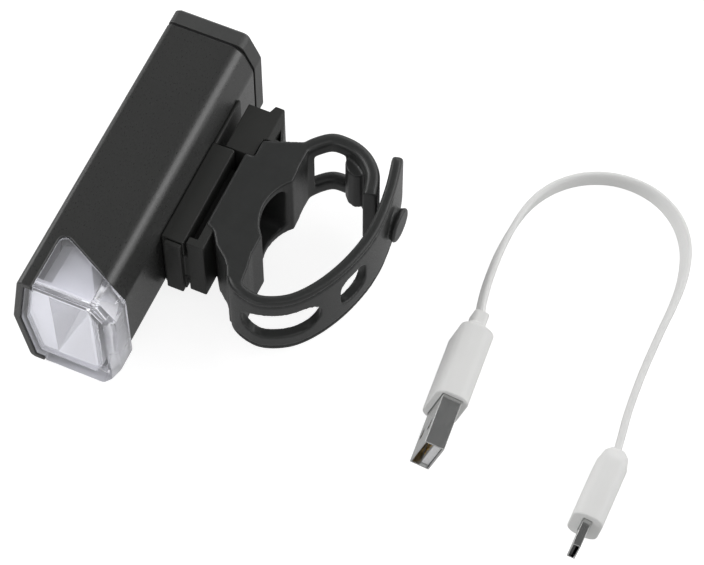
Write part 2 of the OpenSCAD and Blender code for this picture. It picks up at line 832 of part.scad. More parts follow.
module clamp_saddle() {
    head = from_seat([
        [-0.7, 21.2], [-0.1, 18.8], [1.3, 17.2], [3.1, 16.6], [4.5, 17.2], [5.3, 18.6], [6.3, 19.2], [4.5, 21]
    ]);
    color("#1f2123")
        difference() {
            union() {
                along_z(rubber_z0, rubber_z0 + strap_w)
                    difference() {
                        union() {
                            polygon(saddle_plan);
                            polygon(band(arm_path, arm_t));
                        }
                        translate([seat_x, seat_y])
                            circle(r = bar_r);
                    }
                along_z(mid - head_half, mid + head_half)
                    polygon(head);
            }
            along_z(mid - window_h / 2, mid + window_h / 2)
                polygon(band(part_of(arm_path, arm_window[0], arm_window[1]), 2 * arm_t));
            span([pocket_x - washer_t, seat_y - pocket_y / 2, mid - pocket_z / 2],
                 [seat_x, seat_y + pocket_y / 2, mid + pocket_z / 2]);
            rod_x(plate_x1 - over, pocket_x, clamp_screw_r + 0.15, seat_y, mid);
        }
}

strap_path = smooth(from_seat([
    [-9.9, -17.7], [-8.7, -20.4], [-5.1, -22], [-1.1, -22], [3.9, -19.3], [7.8, -14.4],
    [10.8, -8], [12.7, -1], [13.3, 5], [13, 10.6], [12.1, 17], [10.4, 24.3]
]), 6);

// Slots of the strap: first and last step of its path, and rounding of the ends
strap_slots = [[9, 31, 4.2], [35, 42, 3], [46, 51, 2.4]];
knob_r = 3.7;
knob_out = 2.3;
knob_rim = 0.4;

// Cutter for one slot: a rounded block across the chord between two steps of the strap's path
module strap_slot(first, last, r) {
    a = strap_path[first];
    run = strap_path[last] - a;
    translate([a[0], a[1], mid])
        rotate([0, 0, atan2(run[1], run[0])])
            hull()
                for (x = [r, norm(run) - r], z = [r - slot_h / 2, slot_h / 2 - r])
                    translate([x, 0, z])
                        rotate([90, 0, 0])
                            cylinder(h = 5 * strap_t, r = r, center = true);
}

module clamp_strap() {
    root = from_seat([
        [-12.3, -18.2], [-11, -19.8], [-7.1, -21.6], [-6.7, -20.6], [-7.3, -19.4], [-7.5, -18.2]
    ]);
    root_face = [[root[0][0], root_y - root_gap], [root[5][0], root_y - root_gap]];
    knob = strap_path[56];
    color("#1f2123")
        difference() {
            union() {
                along_z(rubber_z0, rubber_z0 + strap_w) {
                    polygon(band(part_of(strap_path, 4, len(strap_path) - 1), strap_t));
                    polygon(concat(root, turned(root_face)));
                }
                rod_x(knob[0], knob[0] + strap_t / 2 + knob_out, knob_r, knob[1], mid);
                rod_x(knob[0] + strap_t / 2 + 0.6 * knob_out, knob[0] + strap_t / 2 + knob_out,
                      knob_r + knob_rim, knob[1], mid);
            }
            for (s = strap_slots)
                strap_slot(s[0], s[1], s[2]);
        }
}

// Sub-parts of the charging cable

// Eight corners of the flat cord's section: across it, and up its width
function cord_section() =
    let (a = cord_t / 2, b = cord_w / 2, e = 0.3 * cord_t)
        [[a, b - e], [a - e, b], [e - a, b], [-a, b - e], [-a, e - b], [e - a, -b], [a - e, -b], [a, e - b]];

function cord_ring(p, i) =
    let (h = unit([for (k = [0, 1]) heading(p, i)[k]]), c = cos(p[i][3]), s = sin(p[i][3]))
        [for (q = cord_section())
            let (side = q[0] * c + q[1] * s, up = q[1] * c - q[0] * s)
                [p[i][0] + side * h[1], p[i][1] - side * h[0], p[i][2] + up]];

module charging_cord() {
    path = smooth(cord_route, 2);
    count = len(path);
    points = [for (i = [0 : count - 1]) each cord_ring(path, i)];
    sides = [
        for (i = [0 : count - 2], j = [0 : 7])
            let (a = 8 * i + j, b = 8 * i + (j + 1) % 8)
                each [[a, a + 8, b], [b, a + 8, b + 8]]
    ];
    caps = [for (j = [1 : 6]) each [[0, j, j + 1], [8 * count - 8, 8 * count - 7 + j, 8 * count - 8 + j]]];
    color("#f3f3f1")
        polyhedron(points, concat(sides, caps));
}

module usb_a_place() {
    translate(usb_a_at)
        rotate(usb_a_turn)
            children();
}

module micro_place() {
    translate(micro_at)
        rotate(micro_turn)
            children();
}

// Rounded block along Y, with half sizes in X and Z
module grip_slice(y0, y1, half, r) {
    along_y(y0, y1)
        polygon(rounded([[-half[0], -half[1]], [half[0], -half[1]], [half[0], half[1]], [-half[0], half[1]]], r));
}

module usb_a_overmould() {
    pocket = usb_a_shell / 2 + [fit / 2, fit / 2];
    neck = [cord_t / 2 + 1, cord_w / 2 + 0.6];
    color("#efefed")
        usb_a_place()
            difference() {
                union() {
                    grip_slice(-usb_a_grip, -neck_len - 3, usb_a_half, 3);
                    hull() {
                        grip_slice(-neck_len - 3.1, -neck_len - 3, usb_a_half, 3);
                        grip_slice(-neck_len - 0.1, -neck_len, neck, 1);
                    }
                    grip_slice(-neck_len - 0.1, 0, neck, 1);
                }
                span([-pocket[0], -usb_a_grip - over, -pocket[1]], [pocket[0], 5 - usb_a_grip, pocket[1]]);
            }
}

module usb_a_shell_tube() {
    sheet = 0.35;
    half = usb_a_shell / 2;
    front = -usb_a_grip - usb_a_len;
    color("#c9ccd0")
        usb_a_place()
            difference() {
                span([-half[0], front, -half[1]], [half[0], 5 - usb_a_grip, half[1]]);
                span([sheet - half[0], front - over, sheet - half[1]], [half[0] - sheet, 4 - usb_a_grip, half[1] - sheet]);
                for (z = [-2.9, 2.9])
                    span([-half[0] - over, front + 4.6, z - 1.1], [half[0] + over, front + 7, z + 1.1]);
            }
}

module usb_a_tongue() {
    half = usb_a_shell / 2 - [0.4, 0.4];
    color("#f4f4f4")
        usb_a_place()
            span([half[0] - tongue_t, -usb_a_grip - usb_a_len + 0.8, -half[1]], [half[0], 4 - usb_a_grip, half[1]]);
}

module usb_a_contacts() {
    half = usb_a_shell / 2 - [0.4, 0.4];
    color("#d6b25c")
        usb_a_place()
            for (z = [-3.5, -1, 1, 3.5])
                span([half[0] - tongue_t - contact_t, -usb_a_grip - usb_a_len + 2, z - 0.5],
                     [half[0] - tongue_t, 3.5 - usb_a_grip, z + 0.5]);
}

module micro_usb_overmould() {
    pocket = micro_shell / 2 + [fit / 2, fit / 2];
    tip = [cord_t / 2 + 0.9, cord_w / 2 + 0.7];
    color("#efefed")
        micro_place()
            difference() {
                union() {
                    grip_slice(-micro_grip, -micro_shoulder, micro_half, 2.6);
                    hull() {
                        grip_slice(-micro_shoulder - 0.1, -micro_shoulder, micro_half, 2.6);
                        grip_slice(-0.4 * micro_shoulder, -0.4 * micro_shoulder + 0.1, 0.6 * micro_half + 0.4 * tip, 1.5);
                        grip_slice(-0.1, 0, tip, 0.9);
                    }
                }
                span([-pocket[0], -micro_grip - over, -pocket[1]], [pocket[0], 3 - micro_grip, pocket[1]]);
            }
}

module micro_usb_shell() {
    sheet = 0.25;
    half = micro_shell / 2;
    front = -micro_grip - micro_len;
    color("#b9bcc1")
        micro_place()
            difference() {
                span([-half[0], front, -half[1]], [half[0], 3 - micro_grip, half[1]]);
                span([sheet - half[0], front - over, sheet - half[1]],
                     [half[0] - sheet, 2 - micro_grip, half[1] - sheet]);
            }
}

module micro_usb_tongue() {
    half = micro_shell / 2 - [0.3, 0.3];
    color("#232323")
        micro_place()
            span([-half[0], -micro_grip - micro_len + 0.5, -half[1]], [0, 2 - micro_grip, half[1]]);
}

body_tube();
rear_gasket();
rear_cap();
cap_screws();
port_cover();
lens();
lens_gasket();
reflector();
led_emitter();
led_board();
heat_sink();
led_leads();
battery_cell();
battery_leads();
inner_frame();
main_board();
micro_usb_socket();
tactile_switch();
switch_plunger();
power_button();
button_bezel();
rail_bracket();
rail_screws();
latch_lever();
clamp_slider();
clamp_screw();
clamp_washer();
clamp_saddle();
clamp_strap();
charging_cord();
usb_a_overmould();
usb_a_shell_tube();
usb_a_tongue();
usb_a_contacts();
micro_usb_overmould();
micro_usb_shell();
micro_usb_tongue();
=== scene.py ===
"""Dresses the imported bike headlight: camera, light, materials, lens, rubber clamp and charging cable."""

import json
import math

import bmesh
import bpy
import numpy as np
from mathutils import Matrix, Vector


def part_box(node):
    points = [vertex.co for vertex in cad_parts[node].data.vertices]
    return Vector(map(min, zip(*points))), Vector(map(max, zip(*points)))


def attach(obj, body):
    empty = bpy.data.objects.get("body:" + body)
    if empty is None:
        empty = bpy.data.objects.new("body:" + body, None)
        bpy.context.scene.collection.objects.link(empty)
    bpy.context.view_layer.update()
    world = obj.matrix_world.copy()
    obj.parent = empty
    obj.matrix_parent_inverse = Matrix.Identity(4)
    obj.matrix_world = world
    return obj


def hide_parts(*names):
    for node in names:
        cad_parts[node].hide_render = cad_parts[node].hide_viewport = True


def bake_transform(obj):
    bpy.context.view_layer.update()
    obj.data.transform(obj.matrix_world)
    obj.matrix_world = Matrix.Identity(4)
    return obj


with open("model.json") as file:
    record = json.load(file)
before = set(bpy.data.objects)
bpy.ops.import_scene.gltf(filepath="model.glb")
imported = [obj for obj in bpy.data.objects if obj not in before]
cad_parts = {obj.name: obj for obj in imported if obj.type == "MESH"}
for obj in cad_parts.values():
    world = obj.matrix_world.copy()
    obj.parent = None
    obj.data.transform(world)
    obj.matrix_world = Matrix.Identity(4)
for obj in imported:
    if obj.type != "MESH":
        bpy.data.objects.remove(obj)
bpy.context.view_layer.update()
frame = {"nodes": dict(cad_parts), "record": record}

MM = 0.001
NODES = frame["nodes"]
MOUNTS = {m["name"]: m for m in frame["record"]["mounts"]}
SLOT_OF = {s["node"]: s["material_slot"] for s in frame["record"]["subparts"]}
BODY_OF = {n: b for b, ns in frame["record"]["behaviour"]["bodies"].items() for n in ns}


# Camera that matches the photograph: focal length in pixels of the 704 pixel wide image, angles in degrees

IMAGE_WIDTH = 704
FOCAL_PIXELS = 2800
CAMERA_AZIMUTH = 23.86
CAMERA_ELEVATION = 59.22
CAMERA_TARGET = Vector((46.92, 6.58, 0)) * MM
CAMERA_DISTANCE = 632.72 * MM
SENSOR_WIDTH = 36
CLIP_START = 0.01
CLIP_END = 20


def aim(thing, place, target):
    """Puts a camera or a lamp at a place in the scene and turns it towards a target."""
    thing.location = place
    thing.rotation_mode = "QUATERNION"
    thing.rotation_quaternion = (target - place).to_track_quat("-Z", "Y")
    bpy.context.scene.collection.objects.link(thing)


def make_camera():
    azimuth = math.radians(CAMERA_AZIMUTH)
    elevation = math.radians(CAMERA_ELEVATION)
    back = Vector((math.sin(azimuth) * math.cos(elevation),
                   -math.cos(azimuth) * math.cos(elevation),
                   math.sin(elevation)))
    data = bpy.data.cameras.new("camera")
    data.sensor_width = SENSOR_WIDTH
    data.lens = FOCAL_PIXELS * SENSOR_WIDTH / IMAGE_WIDTH
    data.clip_start = CLIP_START
    data.clip_end = CLIP_END
    camera = bpy.data.objects.new("camera", data)
    aim(camera, CAMERA_TARGET + back * CAMERA_DISTANCE, CAMERA_TARGET)
    bpy.context.scene.camera = camera


# Material helpers

def new_material(name):
    mat = bpy.data.materials.new(name)
    mat.use_nodes = True
    return mat, mat.node_tree.nodes, mat.node_tree.links


def add_noise(nodes, links, size, detail=4.0, stretch=(1, 1, 1)):
    """Noise value whose features are about the given size in metres, in the row frame."""
    place = nodes.new("ShaderNodeTexCoord")
    mapping = nodes.new("ShaderNodeMapping")
    mapping.inputs["Scale"].default_value = stretch
    noise = nodes.new("ShaderNodeTexNoise")
    noise.inputs["Scale"].default_value = 1 / size
    noise.inputs["Detail"].default_value = detail
    links.new(place.outputs["Object"], mapping.inputs["Vector"])
    links.new(mapping.outputs["Vector"], noise.inputs["Vector"])
    return noise.outputs["Fac"]


def add_range(nodes, links, value, low, high, start=0.3, end=0.7):
    """Spreads a value from start to end, by default a noise value, over low to high."""
    spread = nodes.new("ShaderNodeMapRange")
    spread.inputs["From Min"].default_value = start
    spread.inputs["From Max"].default_value = end
    spread.inputs["To Min"].default_value = low
    spread.inputs["To Max"].default_value = high
    links.new(value, spread.inputs["Value"])
    return spread.outputs["Result"]


def add_bump(nodes, links, shader, height, depth):
    """Roughens a shader's surface by a height value, to a depth in metres."""
    bump = nodes.new("ShaderNodeBump")
    bump.inputs["Strength"].default_value = 1
    bump.inputs["Distance"].default_value = depth
    links.new(height, bump.inputs["Height"])
    links.new(bump.outputs["Normal"], shader.inputs["Normal"])


def parts_of(nodes, links, kind):
    """Sockets with x, y and z of a surface's place (Object) or direction (Normal), or a ray's (Generated)."""
    place = nodes.new("ShaderNodeTexCoord")
    split = nodes.new("ShaderNodeSeparateXYZ")
    links.new(place.outputs[kind], split.inputs["Vector"])
    return split.outputs


def calculate(nodes, links, operation, a, b=0):
    """Socket with the result of an operation on a socket and, if it takes two, a number or another socket."""
    step = nodes.new("ShaderNodeMath")
    step.operation = operation
    links.new(a, step.inputs[0])
    if isinstance(b, (int, float)):
        step.inputs[1].default_value = b
    else:
        links.new(b, step.inputs[1])
    return step.outputs["Value"]


def either_ray(nodes, links, first, second):
    """1 for light rays of two kinds, and 0 for the others."""
    path = nodes.new("ShaderNodeLightPath")
    return calculate(nodes, links, "MAXIMUM", path.outputs[first], path.outputs[second])


def swap_shader(nodes, links, factor, usual, other, output):
    """Sends the usual shader to the output, and the other one where the factor is 1."""
    mix = nodes.new("ShaderNodeMixShader")
    links.new(factor, mix.inputs["Fac"])
    links.new(usual, mix.inputs[1])
    links.new(other, mix.inputs[2])
    links.new(mix.outputs["Shader"], nodes[output].inputs["Surface"])


# Materials

def surface(name, colour, roughness, metallic=0.0, tone=0.12, rough_spread=0.06, grain=0.35 * MM,
            grain_depth=0.01 * MM, patch=6 * MM, stretch=(1, 1, 1), specular=0.5):
    """Principled material with uneven tone, uneven gloss and a fine grain."""
    mat, nodes, links = new_material(name)
    shader = nodes["Principled BSDF"]
    shader.inputs["Metallic"].default_value = metallic
    shader.inputs["Specular IOR Level"].default_value = specular
    mix = nodes.new("ShaderNodeMix")
    mix.data_type = "RGBA"
    mix.inputs["A"].default_value = (*[c * (1 - tone) for c in colour], 1)
    mix.inputs["B"].default_value = (*[min(c * (1 + tone), 1) for c in colour], 1)
    links.new(add_noise(nodes, links, patch, stretch=stretch), mix.inputs["Factor"])
    links.new(mix.outputs["Result"], shader.inputs["Base Color"])
    fine = add_noise(nodes, links, grain, detail=2, stretch=stretch)
    rough = add_range(nodes, links, fine, roughness - rough_spread, roughness + rough_spread)
    links.new(rough, shader.inputs["Roughness"])
    add_bump(nodes, links, shader, fine, grain_depth)
    return mat


# How far a face of the reflector turns sideways, from a floor to a side wall, over which painted shade greys
# it
SIDE_SHADE_TURN = (0.3, 0.6)


def mirrored_inside(name, colour, roughness, coat, side):
    """White plastic with a mirror coat on the faces that look forwards, and painted shade that greys the side
    walls in place of their shading.
    """
    mat = surface(name, colour, roughness, tone=0.03, rough_spread=0.03, grain_depth=0.002 * MM, patch=3 * MM)
    nodes, links = mat.node_tree.nodes, mat.node_tree.links
    shader = nodes["Principled BSDF"]
    toward = parts_of(nodes, links, "Normal")
    forwards = calculate(nodes, links, "LESS_THAN", toward["Y"], 0)
    links.new(calculate(nodes, links, "MULTIPLY", forwards, coat), shader.inputs["Metallic"])
    sideways = calculate(nodes, links, "ABSOLUTE", toward["X"])
    walls = add_range(nodes, links, sideways, 0, 1, *SIDE_SHADE_TURN)
    # Painted shade: the colour of forward-facing side walls is multiplied down to the grey level side
    painted_wall_shade = nodes.new("ShaderNodeMix")
    painted_wall_shade.data_type = "RGBA"
    painted_wall_shade.blend_type = "MULTIPLY"
    links.new(calculate(nodes, links, "MULTIPLY", forwards, walls), painted_wall_shade.inputs["Factor"])
    links.new(shader.inputs["Base Color"].links[0].from_socket, painted_wall_shade.inputs["A"])
    painted_wall_shade.inputs["B"].default_value = (side, side, side, 1)
    links.new(painted_wall_shade.outputs["Result"], shader.inputs["Base Color"])
    return mat


# Lens: where its frosting clears, along x plus z, where its window starts, and how a clear face is turned
FROST_SPAN = (8 * MM, 28 * MM)
WINDOW_LOW = 20 * MM
CLEAR_TURN = (0.6, 0.9)
FLOW_SIZE = 5 * MM
FLOW_DEPTH = 0.02 * MM
FLOW_GLOSS = (0.01, 0.05)


def clear_plastic(name, colour, clarity, frosted, ior=1.53):
    """Clear front and window; the other walls are frosted, most of all low down and beside the hood."""
    mat, nodes, links = new_material(name)
    shader = nodes["Principled BSDF"]
    shader.inputs["Base Color"].default_value = (*colour, 1)
    shader.inputs["IOR"].default_value = ior
    place = parts_of(nodes, links, "Object")
    toward = parts_of(nodes, links, "Normal")
    reach = calculate(nodes, links, "ADD", place["X"], place["Z"])
    upper = calculate(nodes, links, "GREATER_THAN", place["Z"], WINDOW_LOW)
    window = calculate(nodes, links, "MULTIPLY", upper, toward["Z"])
    front = calculate(nodes, links, "ABSOLUTE", toward["Y"])
    facing = calculate(nodes, links, "MAXIMUM", front, window)
    mix = nodes.new("ShaderNodeMix")
    links.new(add_range(nodes, links, facing, 0, 1, *CLEAR_TURN), mix.inputs["Factor"])
    links.new(add_range(nodes, links, reach, *frosted, *FROST_SPAN), mix.inputs["A"])
    mix.inputs["B"].default_value = clarity
    links.new(mix.outputs["Result"], shader.inputs["Transmission Weight"])
    flow = add_noise(nodes, links, FLOW_SIZE, detail=3)
    links.new(add_range(nodes, links, flow, *FLOW_GLOSS), shader.inputs["Roughness"])
    add_bump(nodes, links, shader, flow, FLOW_DEPTH)
    straight = nodes.new("ShaderNodeBsdfTransparent")
    straight.inputs["Color"].default_value = (*colour, 1)
    light = either_ray(nodes, links, "Is Shadow Ray", "Is Diffuse Ray")
    swap_shader(nodes, links, light, shader.outputs["BSDF"], straight.outputs["BSDF"], "Material Output")
    return mat


MATERIALS = {
    "anodised": surface("anodised", (0.026, 0.0265, 0.0255), 0.32, grain=0.25 * MM, grain_depth=0.004 * MM,
                        stretch=(1, 0.35, 1), specular=0.8),
    "cap_plastic": surface("cap_plastic", (0.05, 0.051, 0.05), 0.45, grain=0.3 * MM, grain_depth=0.01 * MM),
    "seal": surface("seal", (0.008, 0.008, 0.0085), 0.7, grain=0.3 * MM),
    "screw_steel": surface("screw_steel", (0.5, 0.51, 0.53), 0.32, metallic=1, patch=1.5 * MM),
    "clear": clear_plastic("clear", (0.965, 0.967, 1.0), clarity=0.9, frosted=(0.15, 0.84)),
    # side is the grey level of the painted shade on the reflector's side walls
    "mirror_plastic": mirrored_inside("mirror_plastic", (0.96, 0.96, 0.985), 0.08, coat=0.95, side=0.62),
    "emitter": surface("emitter", (0.85, 0.72, 0.2), 0.4, patch=0.8 * MM),
    "board_white": surface("board_white", (0.75, 0.76, 0.74), 0.4, patch=3 * MM),
    "board_green": surface("board_green", (0.03, 0.17, 0.07), 0.35, patch=2 * MM),
    "sink_alloy": surface("sink_alloy", (0.62, 0.63, 0.65), 0.35, metallic=1, stretch=(1, 6, 1)),
    "wire": surface("wire", (0.45, 0.03, 0.02), 0.45),
    "cell": surface("cell", (0.35, 0.4, 0.47), 0.4),
    "carrier": surface("carrier", (0.05, 0.052, 0.055), 0.55),
    "tin": surface("tin", (0.66, 0.67, 0.69), 0.28, metallic=1),
    "button": surface("button", (0.018, 0.0185, 0.02), 0.6, grain=0.3 * MM, grain_depth=0.02 * MM),
    "bezel": surface("bezel", (0.05, 0.052, 0.055), 0.4),
    "bracket": surface("bracket", (0.032, 0.0325, 0.031), 0.46, grain=0.3 * MM, grain_depth=0.012 * MM,
                       specular=0.2),
    "clamp_rubber": surface("clamp_rubber", (0.025, 0.026, 0.0255), 0.38, tone=0.2, grain=0.3 * MM,
                            grain_depth=0.01 * MM, patch=4 * MM, specular=0.45),
    "white_jacket": surface("white_jacket", (0.8, 0.8, 0.79), 0.42, tone=0.02, grain=0.3 * MM,
                            grain_depth=0.006 * MM),
    "plug_steel": surface("plug_steel", (0.58, 0.585, 0.58), 0.2, metallic=1, tone=0.06, rough_spread=0.03,
                          grain_depth=0.0015 * MM, patch=2 * MM, stretch=(1, 0.2, 1)),
    "plug_insert": surface("plug_insert", (0.82, 0.82, 0.83), 0.3, tone=0.03),
    "gold": surface("gold", (0.75, 0.52, 0.2), 0.28, metallic=1),
    "dark_insert": surface("dark_insert", (0.015, 0.015, 0.016), 0.45),
}


# Stage: white floor and surroundings, soft boxes at the sides

FLOOR_COLOUR = 0.42
FLOOR_GLOW = 0.84
FLOOR_HALF = 3.0
FLOOR_DROP = 0.05 * MM

# Share of the floor's glow that rays other than the camera's see
RAY_SHARES = {"Is Glossy Ray": 0.3, "Is Diffuse Ray": 0.3, "Is Transmission Ray": 1.0}

# Grey level of the sky at shares of the way up from the horizon
SKY_STOPS = ((0.0, 0.55), (0.3, 0.36), (0.7, 0.16), (1.0, 0.14))

# Soft boxes: place in metres from the object's origin, width and height, and watts
SOFT_BOXES = {
    "left": ((-0.75, 0.0, 0.5), (0.8, 0.6), 5.0),
    "right": ((0.75, 0.42, 0.42), (0.9, 0.6), 3.8),
    "front": ((-0.2, -0.9, 0.4), (0.8, 0.5), 1.3),
    "back": ((0.1, 0.95, 0.5), (0.9, 0.5), 2.6),
    "top": ((0.5, -0.25, 1.0), (0.7, 0.7), 1.6),
}
LIGHT_AIM_HEIGHT = 15 * MM


def seen_directly(nodes, links):
    """1 for rays from the camera, and the share of the other kinds."""
    path = nodes.new("ShaderNodeLightPath")
    total = path.outputs["Is Camera Ray"]
    for kind, share in RAY_SHARES.items():
        part = calculate(nodes, links, "MULTIPLY", path.outputs[kind], share)
        total = calculate(nodes, links, "MAXIMUM", total, part)
    return total


def make_floor():
    mat, nodes, links = new_material("floor_white")
    nodes.remove(nodes["Principled BSDF"])
    matt = nodes.new("ShaderNodeBsdfDiffuse")
    matt.inputs["Color"].default_value = (FLOOR_COLOUR, FLOOR_COLOUR, FLOOR_COLOUR, 1)
    glow = nodes.new("ShaderNodeEmission")
    strength = calculate(nodes, links, "MULTIPLY", seen_directly(nodes, links), FLOOR_GLOW)
    links.new(strength, glow.inputs["Strength"])
    add = nodes.new("ShaderNodeAddShader")
    links.new(matt.outputs["BSDF"], add.inputs[0])
    links.new(glow.outputs["Emission"], add.inputs[1])
    links.new(add.outputs["Shader"], nodes["Material Output"].inputs["Surface"])
    corners = [(FLOOR_HALF * x, FLOOR_HALF * y, 0) for x, y in ((-1, -1), (1, -1), (1, 1), (-1, 1))]
    mesh = bpy.data.meshes.new("floor")
    mesh.from_pydata(corners, [], [(0, 1, 2, 3)])
    mesh.materials.append(mat)
    floor = bpy.data.objects.new("floor", mesh)
    floor.location.z = -FLOOR_DROP
    bpy.context.scene.collection.objects.link(floor)


def make_world():
    """Grey sky that lights the object; the camera sees white in its place, also through the lens."""
    world = bpy.data.worlds.new("surroundings")
    bpy.context.scene.world = world
    world.use_nodes = True
    nodes, links = world.node_tree.nodes, world.node_tree.links
    ramp = nodes.new("ShaderNodeValToRGB")
    stops = ramp.color_ramp.elements
    while len(stops) < len(SKY_STOPS):
        stops.new(0.5)
    for stop, (height, level) in zip(stops, SKY_STOPS):
        stop.position = height
        stop.color = (level, level, level, 1)
    links.new(parts_of(nodes, links, "Generated")["Z"], ramp.inputs["Fac"])
    sky = nodes["Background"]
    links.new(ramp.outputs["Color"], sky.inputs["Color"])
    paper = nodes.new("ShaderNodeBackground")
    paper.inputs["Color"].default_value = (1, 1, 1, 1)
    seen = either_ray(nodes, links, "Is Camera Ray", "Is Transmission Ray")
    swap_shader(nodes, links, seen, sky.outputs["Background"], paper.outputs["Background"], "World Output")


def make_lamps():
    middle = Vector((CAMERA_TARGET.x, CAMERA_TARGET.y, LIGHT_AIM_HEIGHT))
    for name, (place, size, watts) in SOFT_BOXES.items():
        data = bpy.data.lights.new("soft_box_" + name, "AREA")
        data.shape = "RECTANGLE"
        data.size, data.size_y = size
        data.energy = watts
        aim(bpy.data.objects.new("soft_box_" + name, data), Vector(place), middle)


make_camera()
make_world()
make_lamps()
make_floor()


# Mesh helpers

WELD = 0.002 * MM
FLAT_ANGLE = 0.6
SHARP_ANGLE = 32
EDGE_SEGMENTS = 2
EVEN_WEIGHT = 80


def add_piece(name, mesh, body, slot, *replaced):
    """Puts a mesh in the scene as a piece of the object."""
    mesh.materials.clear()
    mesh.materials.append(MATERIALS[slot])
    piece = bpy.data.objects.new(name, mesh)
    bpy.context.scene.collection.objects.link(piece)
    if body:
        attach(piece, body)
    if replaced:
        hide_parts(*replaced)
    return piece


def clean_copy(node):
    """Copy of a CAD node's mesh with its seams welded, its flat faces joined and hollow outlines split."""
    work = bmesh.new()
    work.from_mesh(NODES[node].data)
    bmesh.ops.remove_doubles(work, verts=work.verts, dist=WELD)
    bmesh.ops.dissolve_limit(work, angle_limit=math.radians(FLAT_ANGLE), verts=work.verts, edges=work.edges)
    bmesh.ops.connect_verts_concave(work, faces=work.faces)
    points = [v.co.copy() for v in work.verts]
    work.verts.index_update()
    faces = [[v.index for v in f.verts] for f in work.faces]
    work.free()
    mesh = bpy.data.meshes.new(node + "_skin")
    mesh.from_pydata(points, [], faces)
    mesh.validate()
    return mesh


def smooth_by_angle(mesh, degrees=SHARP_ANGLE):
    mesh.polygons.foreach_set("use_smooth", [True] * len(mesh.polygons))
    mesh.set_sharp_from_angle(angle=math.radians(degrees))


def soften(piece, width):
    """Rounds a piece's edges by a small width and evens its shading."""
    bevel = piece.modifiers.new("soft_edges", "BEVEL")
    bevel.width = width
    bevel.segments = EDGE_SEGMENTS
    bevel.limit_method = "ANGLE"
    bevel.angle_limit = math.radians(SHARP_ANGLE)
    bevel.use_clamp_overlap = False
    bevel.loop_slide = False
    even = piece.modifiers.new("even_shading", "WEIGHTED_NORMAL")
    even.keep_sharp = True
    even.weight = EVEN_WEIGHT


def dress(node, edge):
    """Rigid piece that stands for a CAD node, with its edges rounded by a width in metres."""
    mesh = clean_copy(node)
    smooth_by_angle(mesh)
    piece = add_piece(node + "_skin", mesh, BODY_OF[node], SLOT_OF[node], node)
    if edge:
        soften(piece, edge)
    return piece


def loft(rings):
    """Closed mesh through rings with the same count of points."""
    work = bmesh.new()
    rows = [[work.verts.new(Vector(p)) for p in ring] for ring in rings]
    count = len(rings[0])
    for low, high in zip(rows, rows[1:]):
        for j in range(count):
            k = (j + 1) % count
            work.faces.new((low[j], low[k], high[k], high[j]))
    work.faces.new(list(reversed(rows[0])))
    work.faces.new(rows[-1])
    bmesh.ops.recalc_face_normals(work, faces=work.faces)
    mesh = bpy.data.meshes.new("loft")
    work.to_mesh(mesh)
    work.free()
    return mesh


def to_metres(mesh):
    """Scales a mesh that was drawn in millimetres."""
    mesh.transform(Matrix.Scale(MM, 4))
    return mesh


def smooth_curve(points, steps):
    """Smooth curve through the given points, with the given steps between neighbours."""
    pts = [np.array(p, float) for p in points]
    last = len(pts) - 1
    out = []
    for i in range(last):
        a, b, c, d = pts[max(i - 1, 0)], pts[i], pts[i + 1], pts[min(i + 2, last)]
        for k in range(steps):
            t = k / steps
            out.append((2 * b + (c - a) * t + (2 * a - 5 * b + 4 * c - d) * t ** 2
                        + (3 * b - a - 3 * c + d) * t ** 3) / 2)
    out.append(pts[last])
    return out


def headings(path):
    """Unit direction in plan at each point of a path."""
    out = []
    for i in range(len(path)):
        step = (path[min(i + 1, len(path) - 1)] - path[max(i - 1, 0)])[:2]
        out.append(step / np.linalg.norm(step))
    return out


# Charging cable: the cord's route, x, y and z of its middle in millimetres and its lean in degrees

CORD_ROUTE = (
    (78.1, 6, 7.6, 16), (77.2, 9.5, 7.1, 17), (76.3, 14.5, 6.6, 18), (75.7, 20, 6, 18),
    (75.4, 25, 5.4, 17), (75.5, 31, 4.8, 14), (76, 36.5, 4.2, 10), (77.2, 41.5, 3.7, 6),
    (79.2, 45.8, 3.2, 3), (81.7, 49.1, 2.9, 1), (84.5, 51.6, 2.7, 0), (87.6, 53.4, 2.6, 0),
    (91.1, 54.6, 2.6, 0), (94.8, 55.1, 2.6, -2),
    (98.8, 54.9, 2.6, -6), (102.8, 53.8, 2.6, -10), (106.5, 51.8, 2.6, -14), (109.6, 49.1, 2.6, -18),
    (112.1, 45.7, 2.6, -20), (113.8, 42, 2.6, -20), (115, 37.4, 2.7, -19), (115.6, 33, 2.9, -17),
    (115.8, 27.4, 3.2, -15), (115.7, 21.5, 3.6, -13), (115.7, 15, 4, -12), (115.8, 9, 4.3, -11),
    (116.1, 3, 4.7, -10), (116.6, -3, 5, -9), (117.3, -8, 5.3, -8), (117.9, -12.8, 5.5, -8),
)
CORD_WIDTH = 4.5
CORD_THICKNESS = 1.5
CORD_GROOVE = 0.14
CORD_GROOVE_HALF = 0.7
CORD_STEPS = 8
CORD_ARC_STEP = 20
CORD_SHARP_ANGLE = 50


def cord_outline():
    """Section of the flat cord: a rounded ribbon with a shallow groove along each broad face."""
    radius = CORD_THICKNESS / 2
    half = []
    for turn in range(0, 181, CORD_ARC_STEP):
        angle = math.radians(turn)
        half.append((radius * math.cos(angle), CORD_WIDTH / 2 - radius + radius * math.sin(angle)))
    half += [(-radius, CORD_GROOVE_HALF), (CORD_GROOVE - radius, 0.0), (-radius, -CORD_GROOVE_HALF)]
    return half + [(-x, -y) for x, y in half]


